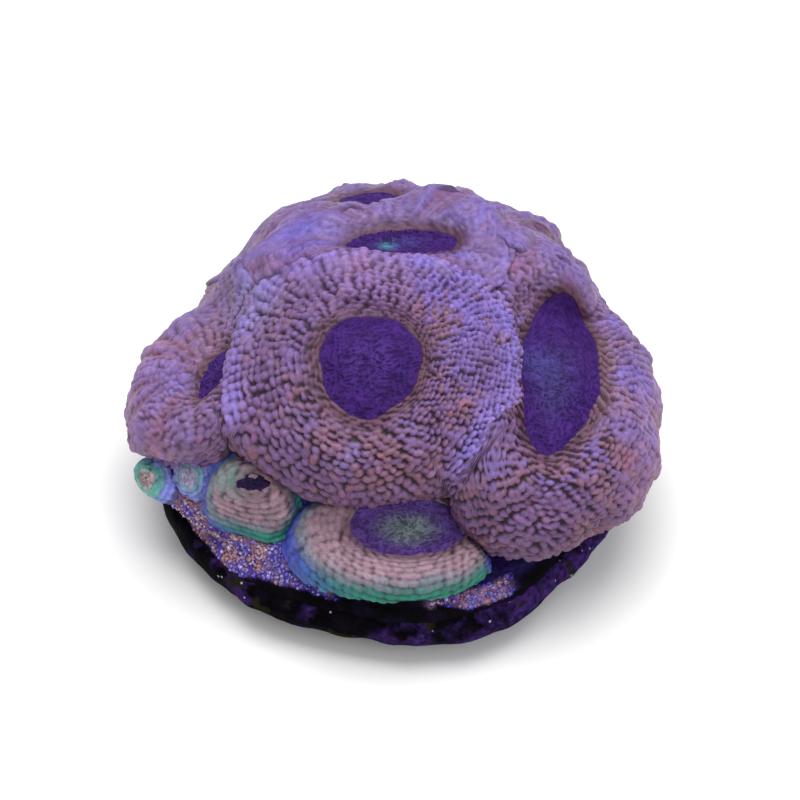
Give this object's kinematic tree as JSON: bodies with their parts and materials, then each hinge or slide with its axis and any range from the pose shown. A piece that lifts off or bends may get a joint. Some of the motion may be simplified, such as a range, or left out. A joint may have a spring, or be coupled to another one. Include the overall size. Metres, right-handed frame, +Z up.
{
  "type": "acan coral colony on its stone",
  "caption": "Large-polyp stony coral colony: crowded fleshy polyps with bead-covered rings and smooth oral discs over a domed limestone skeleton, resting on a round flat stone.",
  "frame": {"origin": "centre of the stone's flat underside, on the surface it rests on", "axes": "+Z up out of the stone, -Y towards the front, +X to the right seen from the front"},
  "size_m": [0.0606, 0.0586, 0.0295],
  "materials": {
    "stone": "near-black rough stone, mottled with violet and olive encrusting growth",
    "skeleton": "granular tissue-covered limestone",
    "flesh": "moist beaded coral flesh, mauve and pink-brown, blue-violet on top, with deep purple oral discs",
    "bud": "moist teal and green flesh of young polyps"
  },
  "bodies": {
    "root": {"stone": "stone", "skeleton": "skeleton", "polyp_centre": "flesh", "polyp_right": "flesh", "polyp_left": "flesh", "polyp_back": "flesh", "polyp_far_back": "flesh", "polyp_back_right": "flesh", "polyp_front": "flesh", "polyp_front_left": "flesh", "bud_left": "bud", "bud_small": "bud"}
  },
  "joints": []
}
